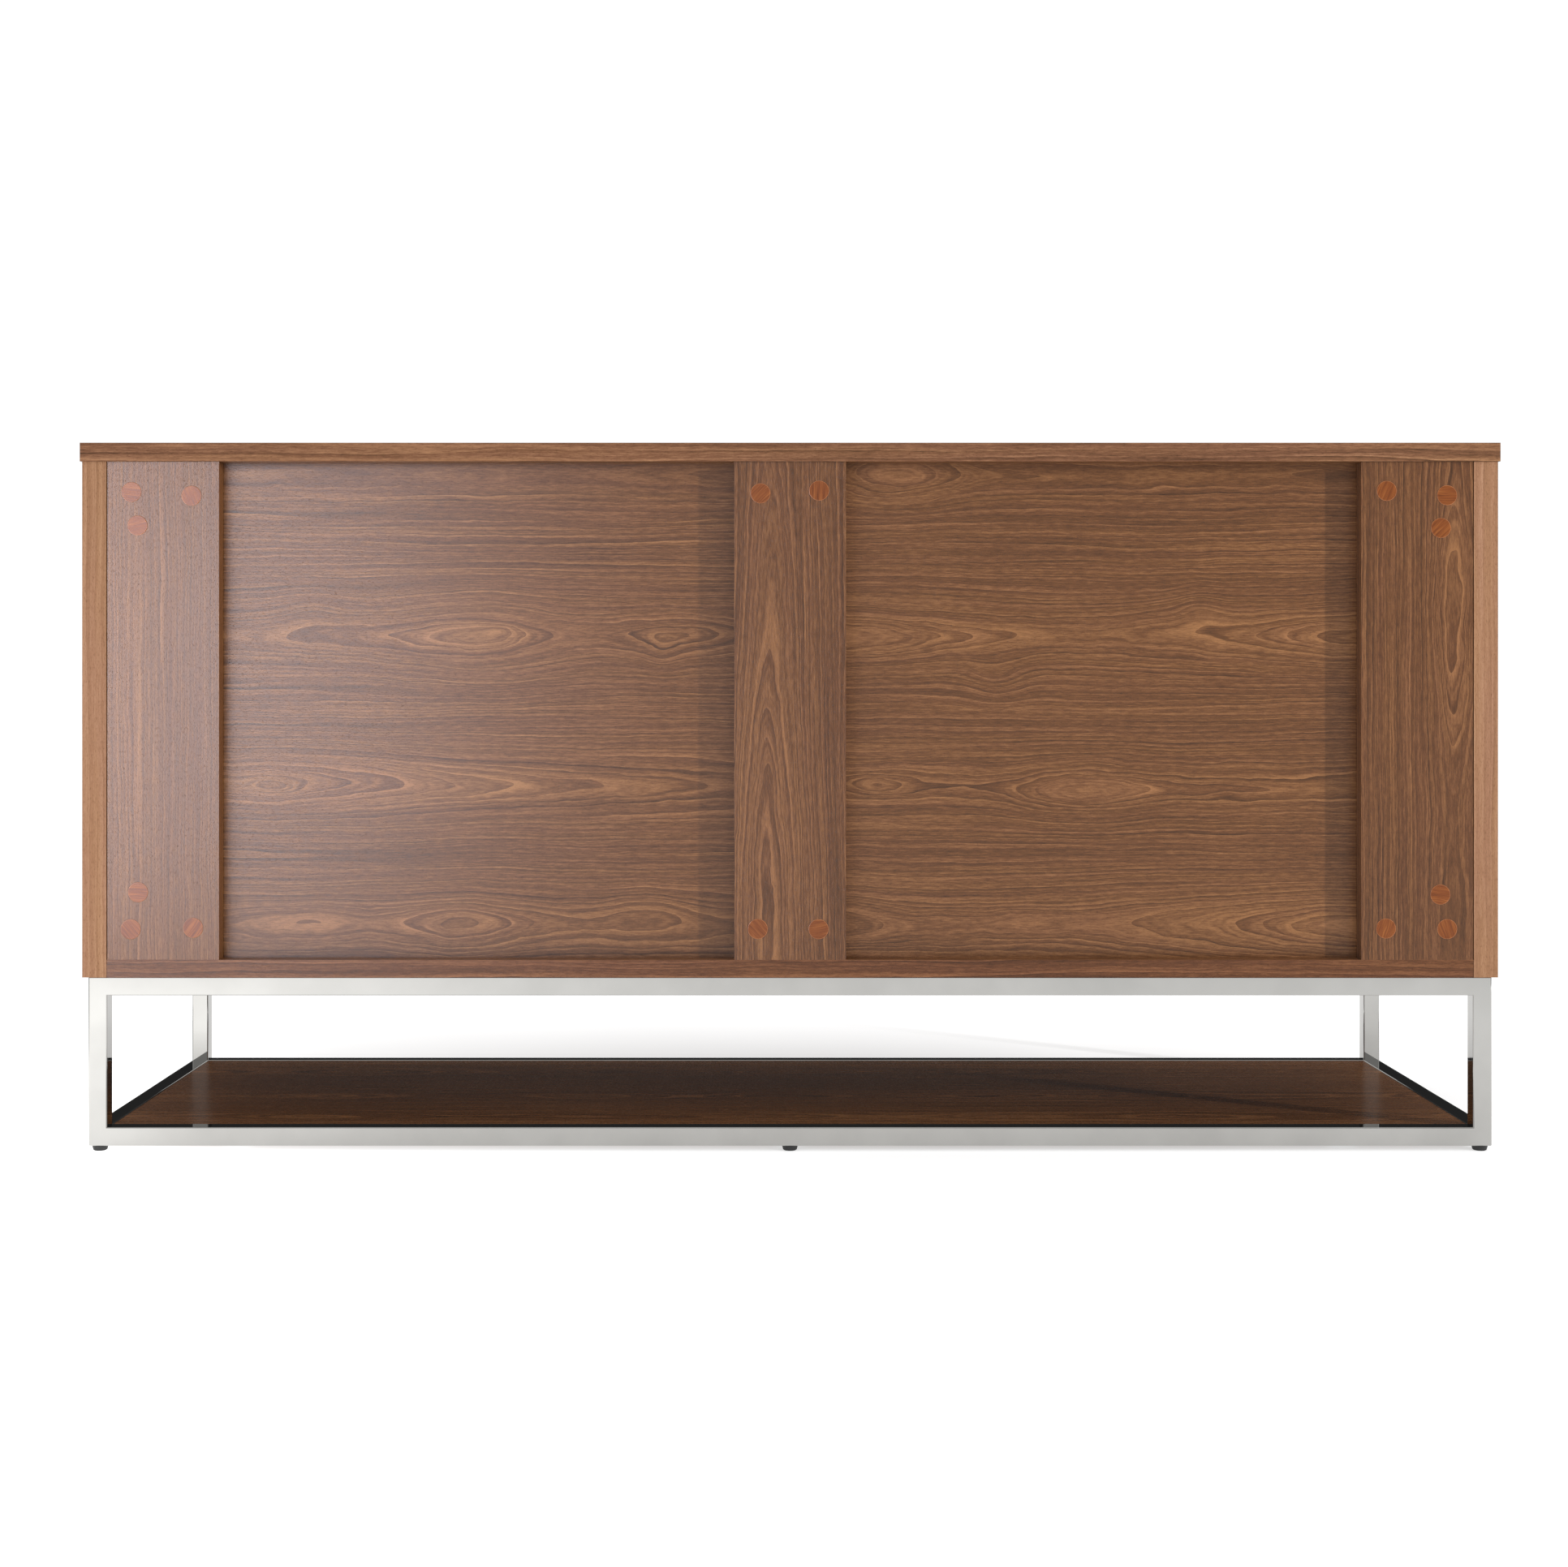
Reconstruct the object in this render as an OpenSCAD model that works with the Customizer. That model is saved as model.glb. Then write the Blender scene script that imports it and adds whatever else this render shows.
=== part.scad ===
// Media cabinet: a veneered two-bay carcass with four inset doors, on a polished tube base with a low shelf.
// Origin: centre of the footprint, on the floor. +Z is up, +X is right seen from the doors,
// -Y is the door side and +Y is the back, where three vertical straps stand proud of recessed back panels.

/* [Overall size] */
// Width over the top panel
overall_w = 1524; // [1400:2:1700]
// Depth over the top panel
overall_d = 457; // [440:1:500]
// Height from the floor to the top surface
overall_h = 762; // [700:1:820]

/* [Carcass] */
// Thickness of the top panel
top_t = 20; // [19:1:24]
// Thickness of the two side panels
side_t = 26; // [24:1:30]
// Thickness of the bottom panel
bottom_t = 19; // [19:1:22]
// Thickness of the doors, divider, shelves and rear straps
board_t = 18; // [18:1:19]
// Overhang of the top past the carcass, all round
overhang = 2; // [1:0.5:4]
// Width of each rear strap
strap_w = 120; // [110:1:150]
// Thickness of the two back panels
back_t = 6; // [5:1:8]
// Depth of the back panels behind the rear edges
back_recess = 20; // [20:1:26]

/* [Doors and shelves] */
// Gap between a door and the panel beside it
door_gap = 2.5; // [2.5:0.1:3]
// Gap between two doors
meeting_gap = 3; // [3:0.1:4]
// Distance from a door's hinge edge to its pivot
pivot_offset = 20; // [20:1:24]
// Height of the adjustable shelves above the bottom panel
shelf_rise = 251; // [180:1:320]
// Spacing of the shelf-pin holes
pin_pitch = 32; // [25:1:32]

/* [Base] */
// Outside size of the square tube
tube = 20; // [18:1:25]
// Wall of the square tube
tube_wall = 1.5; // [1.2:0.1:2]
// Height of the tube base
base_h = 182; // [150:1:220]
// Inset of the base under the carcass, all round
base_inset = 5; // [3:1:12]
// Height of the glides under the base
glide_h = 6; // [5:1:8]
// Thickness of the low shelf
low_shelf_t = 16; // [15:1:18]

/* [Fittings] */
// Distance from a joint to its cam
cam_reach = 34; // [34:1:36]
// Diameter of the covers stuck over the cams at the back
cap_d = 21.5; // [20:0.5:24]
// Spacing of the two cams at each strap end
strap_cam_pitch = 64; // [56:1:72]
// Distance from the strap's end to the cam in its side
side_cam_drop = 70; // [66:1:90]

/* [Hidden] */
$fn = 48;

// Carcass planes
body_w = overall_w - 2 * overhang;
body_d = overall_d - 2 * overhang;
inner_w = body_w - 2 * side_t;
body_z = glide_h + base_h;
in_bottom = body_z + bottom_t;
in_top = overall_h - top_t;
inner_h = in_top - in_bottom;
strap_set = 0.5;                          // rear faces of straps and bottom, just inside the side panels
rear_y = body_d / 2 - strap_set;
strap_y = rear_y - board_t;
back_y = rear_y - back_recess;
strap_gap = 0.8;                          // shadow line between an outer strap and its side panel
strap_x = [for (i = [-1:1]) i * (inner_w / 2 - strap_gap - strap_w / 2)];
groove = 5;
tongue = groove - 0.5;
slack = 0.2;

// Doors, from the left
door_y = -body_d / 2 + 0.5;
door_w = (inner_w - 2 * door_gap - 3 * meeting_gap) / 4;
door_h = inner_h - 2 * door_gap;
door_edge_r = 3;
door_names = ["outer_left", "inner_left", "inner_right", "outer_right"];
door_x = [for (i = [0:3]) -inner_w / 2 + door_gap + i * (door_w + meeting_gap)];
function hinged_left(i) = i % 2 == 0;
function pivot_x(i) = hinged_left(i) ? door_x[i] + pivot_offset : door_x[i] + door_w - pivot_offset;
pivot_y = door_y + board_t / 2;
pin_r = 2.5;
bush_r = 4.5;
bush_depth = 10;
flange_t = 2.3;
plate_t = 3;
plate_r = 6;
plate_reach = [-6, 38];                   // plate's round ends, from the pivot
plate_screws = [16, 34];
running = 0.05;

// Push latches
latch_from_edge = 25;
latch_drop = 12;
latch_y = door_y + board_t + 14;
latch_size = [20, 58, 20];
latch_bore = 54;
latch_ear_t = 2.5;
latch_ear_x = 14;                         // screw centres, from the middle of the latch
latch_screw_r = 1.5;
latch_screw_h = 12;
plunger_l = 50;
plunger_travel = 4;
latch_x = [for (i = [0:3]) door_x[i] + (hinged_left(i) ? door_w - latch_from_edge : latch_from_edge)];
latch_z = in_top - latch_drop;
plunger_r = 4;
strike_t = 1;
tip_gap = 0.3;
tip_y = door_y + board_t + strike_t + tip_gap;

// Bays, shelves and their pins
setback = 18;                             // divider and shelves stand this far behind the doors
divider_y = door_y + board_t + setback;
shelf_side_gap = 1.2;
shelf_z = in_bottom + shelf_rise;
shelf_pin_r = 2.5;
shelf_pin_hole = 8;
pin_cols = [divider_y + 40, back_y - back_t - 50];
pin_z = shelf_z - shelf_pin_r;

// Base
base_w = body_w - 2 * base_inset;
base_d = body_d - 2 * base_inset;
leg_x = (base_w - tube) / 2;
leg_y = (base_d - tube) / 2;
rail_w = base_w - 2 * tube;
rail_d = base_d - 2 * tube;
low_rail_z = glide_h + tube / 2;
top_rail_z = body_z - tube / 2;
bolt_xs = [-540, -180, 180, 540];
base_bolt_r = 2.95;
insert_r = 5;
insert_h = 13;
stem_r = 4;
low_shelf_gap = 1;
low_shelf_top = glide_h + tube - 0.5;
tab = [30, 20, 3];
tab_z = low_shelf_top - low_shelf_t - tab[2];
tab_xs = [-600, 0, 600];

// Cam, bolt and dowel sizes
cam_r = 7.5;
cam_depth = 13.5;
bolt_r = 3;
bolt_bite = 11;
dowel_r = 4;
dowel_in = 16;
dowel_out = 11;
BACK = [0, 1, 0];
UP = [0, 0, 1];

// A cam joint is [point on the joint plane, way to the cam, way to the drilled face, bolt's depth below it].
function strap_cams(i) = concat(
    [for (dx = [-1, 1], up = [1, -1])
        [[strap_x[i] + dx * strap_cam_pitch / 2, rear_y - board_t / 2, up > 0 ? in_top : in_bottom],
         [0, 0, -up], BACK, board_t / 2]],
    i == 1 ? [] : [for (up = [1, -1])
        [[(i - 1) * inner_w / 2, rear_y - board_t / 2,
          up > 0 ? in_top - side_cam_drop : in_bottom + side_cam_drop],
         [1 - i, 0, 0], BACK, board_t / 2]]);
cam_ys = [-150, 130];
cam_inset = 9.5;
side_cams = [for (s = [-1, 1], y = cam_ys)
    [[s * (inner_w / 2 + cam_inset), y, in_top], -UP, [-s, 0, 0], cam_inset]];
floor_cams = [for (s = [-1, 1], y = cam_ys)
    [[s * inner_w / 2, y, body_z + cam_inset], [-s, 0, 0], -UP, cam_inset]];
divider_cams = [for (up = [1, -1], y = cam_ys)
    [[0, y, up > 0 ? in_top : in_bottom], [0, 0, -up], [1, 0, 0], board_t / 2]];
all_strap_cams = [for (i = [0:2]) each strap_cams(i)];
carcass_cams = concat(side_cams, floor_cams, divider_cams);

// How far each rear cover was stuck from its cam's centre, across and up
cap_shift = [[-0.1, -2.2], [-0.2, -1], [0.7, 2.5], [1.5, -0.4], [1.3, -1.3], [1.9, 0],
             [1, 2.8], [1.5, -1.1], [-0.1, -0.1], [2.8, -0.9],
             [1.6, -2.7], [-0.1, 0.3], [2.1, 1.2], [2.9, -1.2], [0.8, 1.4], [0.2, 2.5]];
cap_t = 0.4;
inner_cap_d = 18;

// A dowel is [point on the joint plane, way into the standing board].
strap_dowels = [for (i = [0:2], up = [1, -1])
    [[strap_x[i], rear_y - board_t / 2, up > 0 ? in_top : in_bottom], [0, 0, -up]]];
dowel_ys = [-185, -10, 165];
side_dowels = [for (s = [-1, 1], y = dowel_ys) [[s * (inner_w / 2 + side_t / 2), y, in_top], -UP]];
floor_dowels = [for (s = [-1, 1], y = dowel_ys) [[s * inner_w / 2, y, body_z + cam_inset], [-s, 0, 0]]];
divider_dowels = [for (up = [1, -1], y = [-180, -10, 160])
    [[0, y, up > 0 ? in_top : in_bottom], [0, 0, -up]]];
all_cams = concat(all_strap_cams, carcass_cams);
all_dowels = concat(strap_dowels, side_dowels, floor_dowels, divider_dowels);

carcass_colour = [0.45, 0.30, 0.21];
steel_colour = [0.80, 0.80, 0.79];
zinc_colour = [0.65, 0.66, 0.68];
cover_colour = [0.57, 0.34, 0.19];

// Axis-aligned box between two corners
module block(low, high) translate(low) cube(high - low);

// Turns local +Z to the way z and local +X to the way x, at p
module aim(p, z, x) {
    y = cross(z, x);
    multmatrix([[x.x, y.x, z.x, p.x], [x.y, y.y, z.y, p.y], [x.z, y.z, z.z, p.z], [0, 0, 0, 1]]) children();
}

// Any way across z, for round things
function across(z) = abs(z.z) > 0.5 ? [1, 0, 0] : [0, 0, 1];

// ---- cam joints -----------------------------------------------------------------------------------
module cam_cut(j) {
    aim(j[0], j[1], j[2]) {
        cylinder(r = bolt_r + 0.5, h = cam_reach);
        translate([0, 0, -bolt_bite - 0.5]) cylinder(r = bolt_r + running, h = bolt_bite + 0.6);
        translate([j[3] - cam_depth, 0, cam_reach]) rotate([0, 90, 0]) cylinder(r = cam_r, h = cam_depth + 1);
    }
}

module cam_lock(j) {
    cam_h = cam_depth - 0.6;
    slot = [8, 1.6, 2.5];
    aim(j[0], j[1], j[2]) translate([j[3] - cam_depth + 0.1, 0, cam_reach]) rotate([0, 90, 0]) difference() {
        cylinder(r = cam_r - running, h = cam_h);
        for (turn = [0, 90]) rotate(turn)
            block([-slot.x / 2, -slot.y / 2, cam_h - slot.z], [slot.x / 2, slot.y / 2, cam_h + 1]);
        translate([0, 0, cam_depth - j[3] - 0.1]) rotate([0, 90, 0])
            cylinder(r = bolt_r + 0.5, h = cam_r + 1);
    }
}

module cam_bolt(j) {
    neck = cam_reach - 8;
    aim(j[0], j[1], j[2]) {
        translate([0, 0, -bolt_bite]) cylinder(r = bolt_r, h = bolt_bite + neck);
        translate([0, 0, neck]) cylinder(r = 1.8, h = 3);
        translate([0, 0, neck + 3]) cylinder(r = 2.8, h = 3);
    }
}

module cam_cover(j, d, shift) {
    aim(j[0] + cam_reach * j[1] + j[3] * j[2] + shift, j[2], across(j[2])) cylinder(d = d, h = cap_t);
}

module rear_cam_covers() {
    color(cover_colour) for (n = [0:len(all_strap_cams) - 1])
        cam_cover(all_strap_cams[n], cap_d, [cap_shift[n].x, 0, cap_shift[n].y]);
}

module inner_cam_covers() {
    color(cover_colour) for (j = concat(side_cams, divider_cams)) cam_cover(j, inner_cap_d, [0, 0, 0]);
}

module dowel(k) {
    aim(k[0] - dowel_out * k[1], k[1], across(k[1])) cylinder(r = dowel_r, h = dowel_out + dowel_in);
}

module dowel_cut(k) {
    aim(k[0] - (dowel_out + 0.5) * k[1], k[1], across(k[1]))
        cylinder(r = dowel_r + running, h = dowel_out + dowel_in + 1);
}

module cuts(cams, dowels) {
    for (j = cams) cam_cut(j);
    for (k = dowels) dowel_cut(k);
}

// ---- carcass --------------------------------------------------------------------------------------
// Slot for the back panels, right across the carcass between two heights
module back_groove(z0, z1) {
    reach = inner_w / 2 + groove;
    block([-reach, back_y - back_t - slack, z0], [reach, back_y + slack, z1]);
}

module bush_holes(z0) {
    for (i = [0:3]) translate([pivot_x(i), pivot_y, z0]) cylinder(r = bush_r + running, h = bush_depth + 0.5);
}

module top_panel() {
    color(carcass_colour) difference() {
        block([-overall_w / 2, -overall_d / 2, in_top], [overall_w / 2, overall_d / 2, overall_h]);
        back_groove(in_top - 1, in_top + groove);
        bush_holes(in_top - 0.5);
        cuts([for (j = concat(all_strap_cams, side_cams, divider_cams)) if (j[1] == -UP) j],
             [for (k = concat(strap_dowels, side_dowels, divider_dowels)) if (k[1] == -UP) k]);
        at_latch_screws() cylinder(r = latch_screw_r + running, h = latch_screw_h);
    }
}

module bottom_panel() {
    color(carcass_colour) difference() {
        block([-inner_w / 2, -body_d / 2, body_z], [inner_w / 2, rear_y, in_bottom]);
        back_groove(in_bottom - groove, in_bottom + 1);
        bush_holes(in_bottom - bush_depth);
        cuts([for (j = concat(all_strap_cams, divider_cams)) if (j[1] == UP) j],
             [for (k = concat(strap_dowels, divider_dowels)) if (k[1] == UP) k]);
        cuts(floor_cams, floor_dowels);
        at_base_bolts() cylinder(r = insert_r + running, h = insert_h + 0.5);
    }
}

// Columns of blind holes for the shelf pins, in the wall at x that faces the given way
module shelf_pin_holes(x, way) {
    for (y = pin_cols, n = [-2:2])
        aim([x - way * shelf_pin_hole, y, pin_z + n * pin_pitch], [way, 0, 0], UP)
            cylinder(r = shelf_pin_r, h = shelf_pin_hole + 1);
}

// Draws its children on the +X side, or mirrored on the -X side
module on_side(s) mirror([s > 0 ? 0 : 1, 0, 0]) children();

module side_panel(s) {
    color(carcass_colour) difference() {
        on_side(s) block([inner_w / 2, -body_d / 2, body_z], [body_w / 2, body_d / 2, in_top]);
        back_groove(in_bottom - groove, in_top + 1);
        cuts([for (j = concat(all_strap_cams, side_cams, floor_cams)) if (s * j[0].x > inner_w / 2 - 1) j],
             [for (k = concat(side_dowels, floor_dowels)) if (s * k[0].x > 0) k]);
        shelf_pin_holes(s * inner_w / 2, -s);
    }
}

module centre_divider() {
    color(carcass_colour) difference() {
        block([-board_t / 2, divider_y, in_bottom], [board_t / 2, strap_y, in_top]);
        for (s = [-1, 1]) {
            on_side(s) block([board_t / 2 - groove, back_y - back_t - slack, in_bottom - 1],
                             [board_t / 2 + 1, back_y + slack, in_top + 1]);
            shelf_pin_holes(s * board_t / 2, s);
        }
        cuts(divider_cams, divider_dowels);
    }
}

module back_panel(s) {
    color(carcass_colour) on_side(s)
        block([board_t / 2 - tongue, back_y - back_t, in_bottom - tongue],
              [inner_w / 2 + tongue, back_y, in_top + tongue]);
}

module rear_strap(i) {
    color(carcass_colour) difference() {
        block([strap_x[i] - strap_w / 2, strap_y, in_bottom], [strap_x[i] + strap_w / 2, rear_y, in_top]);
        cuts(strap_cams(i), [strap_dowels[2 * i], strap_dowels[2 * i + 1]]);
    }
}

module bay_shelf(s) {
    color(carcass_colour) on_side(s)
        block([board_t / 2 + shelf_side_gap, divider_y + 2, shelf_z],
              [inner_w / 2 - shelf_side_gap, back_y - back_t - 2, shelf_z + board_t]);
}

module shelf_pins() {
    color(zinc_colour) for (s = [-1, 1], wall = [[inner_w / 2, -1], [board_t / 2, 1]], y = pin_cols)
        aim([s * wall[0], y, pin_z], [s * wall[1], 0, 0], UP) {
            translate([0, 0, 1 - shelf_pin_hole])
                cylinder(r = shelf_pin_r - running, h = shelf_pin_hole - 1);
            cylinder(r = 4, h = 1);
            cylinder(r = shelf_pin_r, h = 9);
        }
}

// ---- doors, pivots and latches --------------------------------------------------------------------
module plate_outline(r) {
    for (x = plate_reach) translate([x, 0]) circle(r);
    translate([plate_reach[0], -r]) square([plate_reach[1] - plate_reach[0], 2 * r]);
}

// Pivot plate with its pin pointing down and its face at z = 0, the pivot at the origin
module pivot_plate() {
    difference() {
        linear_extrude(plate_t) plate_outline(plate_r);
        for (x = plate_screws) translate([x, 0, -0.01]) {
            cylinder(r1 = 3.8, r2 = 1.9, h = 2.1);
            cylinder(r = 1.9, h = plate_t + 1);
        }
    }
    translate([0, 0, -door_gap - bush_depth + 2]) cylinder(r = pin_r, h = door_gap + bush_depth - 2);
    translate([0, 0, plate_t]) cylinder(r = pin_r, h = 10);
}

module plate_screw() {
    cylinder(r1 = 3.5, r2 = 1.7, h = 2);
    cylinder(r = 1.7, h = 18);
}

module plate_pocket() {
    translate([0, 0, -1]) linear_extrude(plate_t + 1) plate_outline(plate_r + 0.1);
    translate([0, 0, plate_t - 0.1]) cylinder(r = pin_r + running, h = 10.6);
    for (x = plate_screws) translate([x, 0, 0]) cylinder(r = 1.7 + running, h = 18.5);
}

// Both ends of a door hung at its left edge, whose lower left front corner is the origin
module at_door_ends() {
    for (end = [0, 1]) translate([pivot_offset, board_t / 2, end * door_h]) mirror([0, 0, end]) children();
}

// Puts a left-hung door part at door i, mirrored for a right-hung one
module at_door(i) {
    translate([hinged_left(i) ? door_x[i] : door_x[i] + door_w, door_y, in_bottom + door_gap])
        mirror([hinged_left(i) ? 0 : 1, 0, 0]) children();
}

strike_at = [door_w - latch_from_edge, board_t, latch_z - in_bottom - door_gap];

module door() {
    r = door_edge_r;
    color(carcass_colour) difference() {
        linear_extrude(door_h) {
            translate([r, 0]) square([door_w - 2 * r, board_t]);
            translate([0, r]) square([door_w, board_t - 2 * r]);
            for (x = [r, door_w - r], y = [r, board_t - r]) translate([x, y]) circle(r);
        }
        at_door_ends() plate_pocket();
        translate(strike_at) rotate([90, 0, 0]) cylinder(r = 1.3 + running, h = 10.5);
    }
}

module door_pivots() color(zinc_colour) at_door_ends() pivot_plate();

module door_screws() {
    color(zinc_colour) {
        at_door_ends() for (x = plate_screws) translate([x, 0, 0]) plate_screw();
        translate(strike_at + [0, strike_t, 0]) rotate([90, 0, 0]) {
            cylinder(r1 = 2.4, r2 = 1.3, h = 0.9);
            cylinder(r = 1.3, h = 11);
        }
    }
}

module door_strike() {
    color(zinc_colour) translate(strike_at + [0, strike_t, 0]) rotate([90, 0, 0]) difference() {
        cylinder(r = 7, h = strike_t);
        translate([0, 0, -0.01]) cylinder(r1 = 2.6, r2 = 1.4, h = strike_t + 0.02);
    }
}

// Flanged bushes of all four doors, in the bottom panel or upside down in the top panel
module pivot_bush_row(z, end) {
    for (i = [0:3]) translate([pivot_x(i), pivot_y, z]) mirror([0, 0, end]) difference() {
        union() {
            cylinder(r = 7, h = flange_t);
            translate([0, 0, -bush_depth]) cylinder(r = bush_r, h = bush_depth);
        }
        translate([0, 0, -bush_depth - 1]) cylinder(r = pin_r + running, h = bush_depth + flange_t + 2);
    }
}

module pivot_bushes() {
    color("goldenrod") {
        pivot_bush_row(in_bottom, 0);
        pivot_bush_row(in_top, 1);
    }
}

// Places at the underside of a latch's two ears
module at_latch_screws() {
    for (x = latch_x, s = [-1, 1])
        translate([x + s * latch_ear_x, latch_y + latch_size.y / 2, in_top - latch_ear_t]) children();
}

module latch_housings() {
    half = [latch_size.x / 2, latch_ear_x + 4];
    ear_y = [latch_size.y / 2 - 8, latch_size.y / 2 + 8];
    color("dimgray") difference() {
        for (x = latch_x) translate([x, latch_y, in_top]) {
            block([-half[0], 0, -latch_size.z], [half[0], latch_size.y, 0]);
            block([-half[1], ear_y[0], -latch_ear_t], [half[1], ear_y[1], 0]);
        }
        for (x = latch_x) translate([x, latch_y + latch_bore, latch_z]) rotate([90, 0, 0])
            cylinder(r = plunger_r + running, h = latch_size.y);
        at_latch_screws() translate([0, 0, -1]) cylinder(r = latch_screw_r + running, h = latch_ear_t + 2);
    }
}

module latch_screws() {
    color(zinc_colour) at_latch_screws() {
        translate([0, 0, -1.6]) cylinder(r = 2.8, h = 1.6);
        cylinder(r = latch_screw_r, h = latch_screw_h - 0.5);
    }
}

module plunger(i) {
    groove_r = plunger_r - 0.6;
    color("gray") translate([latch_x[i], tip_y, latch_z]) rotate([-90, 0, 0]) {
        cylinder(r = plunger_r, h = 3);
        translate([0, 0, 3]) cylinder(r = groove_r, h = 1);
        translate([0, 0, 4]) cylinder(r = plunger_r, h = plunger_l - 4);
    }
}

// Coil of round wire standing on z = 0, with its ends cut square
module coil_spring(coil_r, wire_r, length, turns) {
    steps = 8 * turns;
    sides = 5;
    rise = (length - 2 * wire_r) / steps;
    points = [for (i = [0:steps], k = [0:sides - 1])
        let (turn = i * 360 * turns / steps, round = k * 360 / sides, r = coil_r + wire_r * cos(round))
        [r * cos(turn), r * sin(turn), wire_r + i * rise + wire_r * sin(round)]];
    skin = [for (i = [0:steps - 1], k = [0:sides - 1])
        let (a = i * sides + k, b = i * sides + (k + 1) % sides)
        each [[a, b, b + sides], [a, b + sides, a + sides]]];
    ends = [[for (k = [sides - 1:-1:0]) k], [for (k = [0:sides - 1]) steps * sides + k]];
    polyhedron(points, concat(skin, ends));
}

// Drawn at their shortest, as they are when the plunger is fully pressed
module latch_springs() {
    length = latch_y + latch_bore - (tip_y + plunger_l + plunger_travel) - tip_gap;
    color(zinc_colour) for (x = latch_x)
        translate([x, latch_y + latch_bore, latch_z]) rotate([90, 0, 0]) coil_spring(2.9, 0.45, length, 5);
}

// ---- base -----------------------------------------------------------------------------------------
module square_tube(length) {
    inner = tube - 2 * tube_wall;
    linear_extrude(length, center = true) difference() {
        square(tube, center = true);
        square(inner, center = true);
    }
}

module leg(fx, fy) {
    color(steel_colour) translate([fx * leg_x, fy * leg_y, glide_h + base_h / 2]) square_tube(base_h);
}

// Places on the underside of the carcass where the base is bolted to it
module at_base_bolts() {
    for (x = bolt_xs, s = [-1, 1]) translate([x, s * leg_y, body_z]) children();
}

module long_top_rail(fy) {
    color(steel_colour) difference() {
        translate([0, fy * leg_y, top_rail_z]) rotate([0, 90, 0]) square_tube(rail_w);
        at_base_bolts() {
            translate([0, 0, -tube - 1]) cylinder(r = 6, h = tube / 2);
            translate([0, 0, -tube / 2]) cylinder(r = 3.3, h = tube);
        }
    }
}

module long_bottom_rail(fy) {
    color(steel_colour) difference() {
        translate([0, fy * leg_y, low_rail_z]) rotate([0, 90, 0]) square_tube(rail_w);
        translate([0, fy * leg_y, glide_h - 1]) cylinder(r = stem_r, h = tube / 2);
    }
}

module side_rail(fx, z) {
    color(steel_colour) translate([fx * leg_x, 0, z]) rotate([90, 0, 0]) square_tube(rail_d);
}

module at_tabs() {
    for (x = tab_xs, s = [-1, 1]) aim([x, s * rail_d / 2, tab_z], UP, [0, -s, 0]) children();
    for (s = [-1, 1]) aim([s * rail_w / 2, 0, tab_z], UP, [-s, 0, 0]) children();
}

module low_shelf() {
    half = [rail_w / 2 - low_shelf_gap, rail_d / 2 - low_shelf_gap];
    color(carcass_colour) difference() {
        block([-half.x, -half.y, low_shelf_top - low_shelf_t], [half.x, half.y, low_shelf_top]);
        at_tabs() translate([tab.y / 2, 0, 0]) cylinder(r = 2, h = tab.z + 10.5);
    }
}

module low_shelf_tabs() {
    color(steel_colour) at_tabs() difference() {
        translate([0, -tab.x / 2, 0]) cube([tab.y, tab.x, tab.z]);
        translate([tab.y / 2, 0, -1]) cylinder(r = 2.2, h = tab.z + 2);
    }
}

module low_shelf_screws() {
    color(zinc_colour) at_tabs() translate([tab.y / 2, 0, 0]) {
        translate([0, 0, -2.4]) cylinder(r = 4, h = 2.4);
        cylinder(r = 1.95, h = tab.z + 10);
    }
}

module base_bolts() {
    head = 5;
    color(zinc_colour) at_base_bolts() translate([0, 0, -tube_wall]) {
        difference() {
            translate([0, 0, -head]) cylinder(r = 5, h = head);
            translate([0, 0, -head - 1]) cylinder(r = 2.5, h = 4, $fn = 6);
        }
        cylinder(r = base_bolt_r, h = 13);
    }
}

module base_inserts() {
    color("goldenrod") at_base_bolts() difference() {
        cylinder(r = insert_r, h = insert_h);
        translate([0, 0, -1]) cylinder(r = base_bolt_r + running, h = insert_h + 2);
    }
}

module foot_disc() {
    cone_h = glide_h - 1;
    rotate_extrude()
        polygon([[0, 0], [6.5, 0], [7.5, 0.8], [8.6, cone_h], [9.25, cone_h + 0.4], [9.25, glide_h], [0, glide_h]]);
}

module glides() {
    plug = tube - 2 * tube_wall - 0.4;
    color([0.06, 0.06, 0.07]) {
        for (fx = [-1, 1], fy = [-1, 1]) translate([fx * leg_x, fy * leg_y, 0]) {
            foot_disc();
            translate([-plug / 2, -plug / 2, glide_h]) cube([plug, plug, 12]);
        }
        for (fy = [-1, 1]) translate([0, fy * leg_y, 0]) {
            foot_disc();
            translate([0, 0, glide_h]) cylinder(r = stem_r - 0.1, h = 10);
        }
    }
}

top_panel();
bottom_panel();
side_panel(-1);  // left_side_panel
side_panel(1);  // right_side_panel
centre_divider();
back_panel(-1);  // left_back_panel
back_panel(1);  // right_back_panel
rear_strap(0);  // left_rear_strap
rear_strap(1);  // centre_rear_strap
rear_strap(2);  // right_rear_strap
bay_shelf(-1);  // left_shelf
bay_shelf(1);  // right_shelf
shelf_pins();
color(zinc_colour) for (j = all_cams) cam_lock(j);  // cam_locks
color(zinc_colour) for (j = all_cams) cam_bolt(j);  // cam_bolts
color("burlywood") for (k = all_dowels) dowel(k);  // dowels
rear_cam_covers();
inner_cam_covers();
pivot_bushes();
latch_housings();
latch_screws();
latch_springs();
for (i = [0:3]) {
    at_door(i) door();
    at_door(i) door_pivots();
    at_door(i) door_screws();
    at_door(i) door_strike();
    plunger(i);
}
for (f = [["front", -1], ["rear", 1]]) {
    for (s = [["left", -1], ["right", 1]])
        leg(s[1], f[1]);
    long_top_rail(f[1]);
    long_bottom_rail(f[1]);
}
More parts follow.
